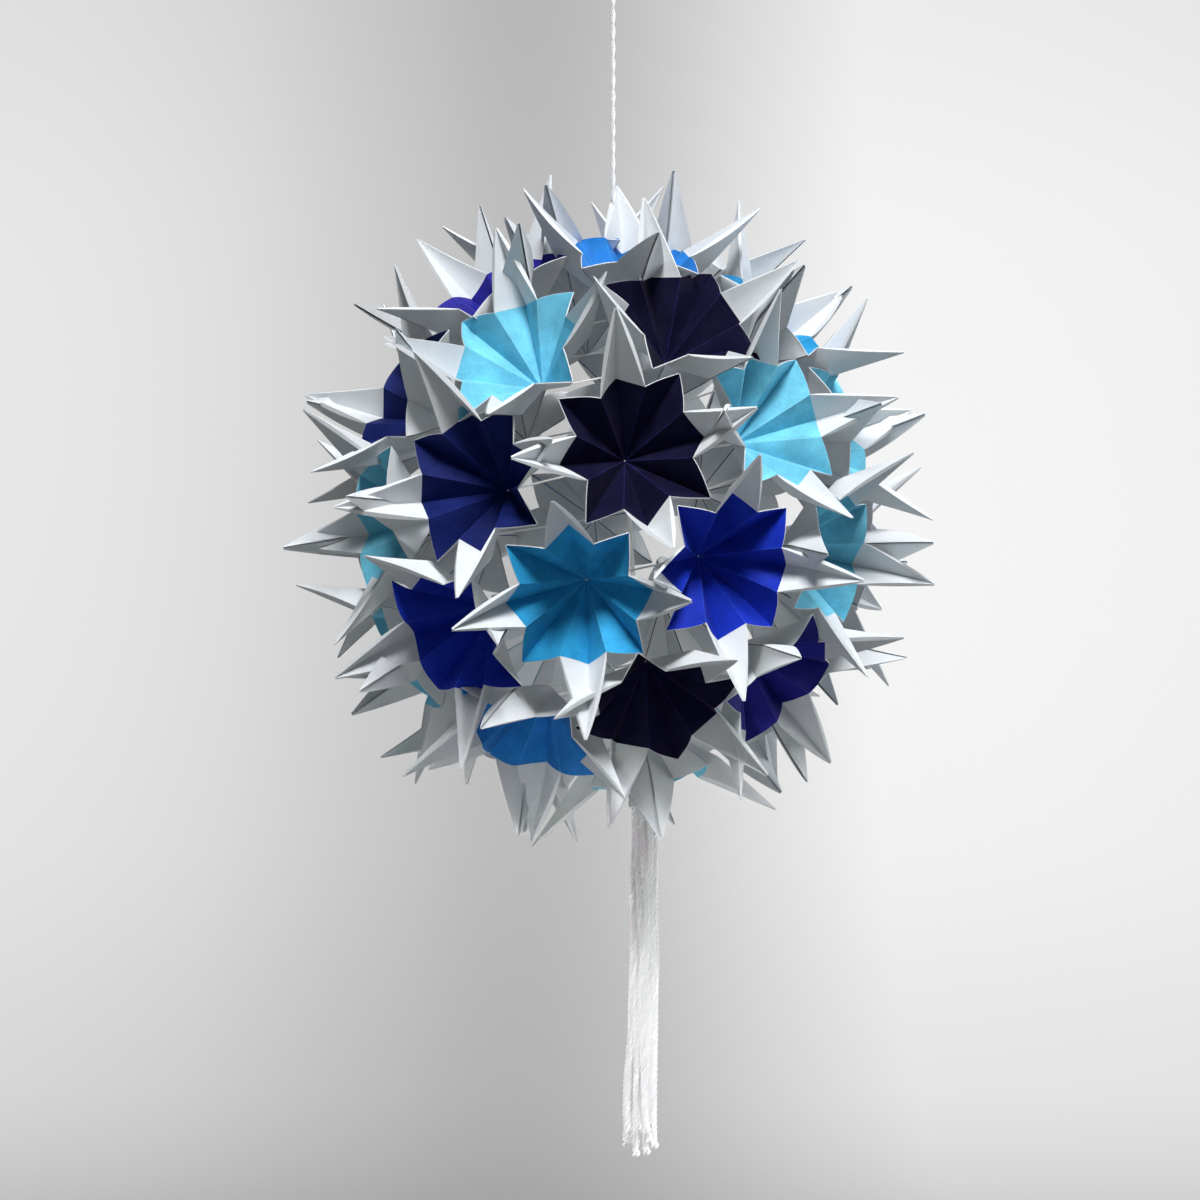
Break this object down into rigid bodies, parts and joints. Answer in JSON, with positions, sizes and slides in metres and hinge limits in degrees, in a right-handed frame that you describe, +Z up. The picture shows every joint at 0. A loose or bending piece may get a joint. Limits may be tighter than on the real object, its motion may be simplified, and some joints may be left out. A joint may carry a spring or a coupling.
{
  "type": "kusudama",
  "caption": "Hanging kusudama: a ball of blue and white folded paper stars with long spikes, on a thread, with a yarn tassel below",
  "frame": {"origin": "the point inside the top of the hanging loop where it bears on its hook", "axes": "+Z up along the hanging thread, +X to the right and -Y towards the viewer"},
  "size_m": [0.2123, 0.2111, 0.3924],
  "materials": {
    "paper_indigo": "matte two-sided folding paper, blue inside and white outside",
    "paper_navy": "matte two-sided folding paper, blue inside and white outside",
    "paper_royal": "matte two-sided folding paper, blue inside and white outside",
    "paper_violet": "matte two-sided folding paper, blue inside and white outside",
    "paper_azure": "matte two-sided folding paper, blue inside and white outside",
    "paper_cerulean": "matte two-sided folding paper, blue inside and white outside",
    "paper_sky": "matte two-sided folding paper, blue inside and white outside",
    "white_thread": "twisted cotton thread",
    "white_yarn": "plied cotton yarn, slight sheen"
  },
  "bodies": {
    "hanger": {"hang_loop": "white_thread"},
    "knot": {"loop_knot": "white_thread"},
    "thread": {"hanging_thread": "white_thread"},
    "ball": {"thread_knot": "white_thread", "star_a1": "paper_azure", "star_b1": "paper_azure", "star_b2": "paper_navy", "star_b3": "paper_sky", "star_b4": "paper_royal", "star_b5": "paper_violet", "star_c1": "paper_sky", "star_c2": "paper_indigo", "star_c3": "paper_cerulean", "star_c4": "paper_sky", "star_c5": "paper_royal", "star_c6": "paper_navy", "star_c7": "paper_azure", "star_c8": "paper_navy", "star_d1": "paper_indigo", "star_d2": "paper_sky", "star_d3": "paper_sky", "star_d4": "paper_royal", "star_d5": "paper_violet", "star_d6": "paper_cerulean", "star_d7": "paper_azure", "star_d8": "paper_indigo", "star_d9": "paper_sky", "star_d10": "paper_navy", "star_e1": "paper_cerulean", "star_e2": "paper_royal", "star_e3": "paper_sky", "star_e4": "paper_azure", "star_e5": "paper_navy", "star_e6": "paper_indigo", "star_e7": "paper_sky", "star_e8": "paper_cerulean", "star_e9": "paper_sky", "star_e10": "paper_royal", "star_f1": "paper_indigo", "star_f2": "paper_violet", "star_f3": "paper_azure", "star_f4": "paper_sky", "star_f5": "paper_royal", "star_f6": "paper_navy", "star_f7": "paper_azure", "star_g1": "paper_sky", "row_thread_b": "white_thread", "row_thread_c": "white_thread", "row_thread_d": "white_thread", "row_thread_e": "white_thread", "row_thread_f": "white_thread", "inner_cord": "white_thread", "stop_knot": "white_thread"},
    "tassel_link": {"tassel_cord": "white_thread"},
    "tassel": {"tassel_tie": "white_thread", "tassel_yarns_core": "white_yarn", "tassel_yarns_inner": "white_yarn", "tassel_yarns_outer": "white_yarn"}
  },
  "joints": [
    {"name": "thread_fore_aft", "type": "hinge", "parent": "hanger", "child": "knot", "pos_m": [0, 0, -0.0167], "axis": [1, 0, 0], "range_deg": [-20, 20]},
    {"name": "thread_side", "type": "hinge", "parent": "knot", "child": "thread", "pos_m": [0, 0, -0.0203], "axis": [0, 1, 0], "range_deg": [-20, 20]},
    {"name": "ball_spin", "type": "hinge", "parent": "thread", "child": "ball", "pos_m": [0, 0, -0.0952], "axis": [0, 0, 1], "continuous": true},
    {"name": "tassel_fore_aft", "type": "hinge", "parent": "ball", "child": "tassel_link", "pos_m": [0.00985, -0.00623, -0.26111], "axis": [1, 0, 0], "range_deg": [-7, 7]},
    {"name": "tassel_side", "type": "hinge", "parent": "tassel_link", "child": "tassel", "pos_m": [0.00985, -0.00623, -0.26111], "axis": [0, 1, 0], "range_deg": [-7, 7]}
  ]
}
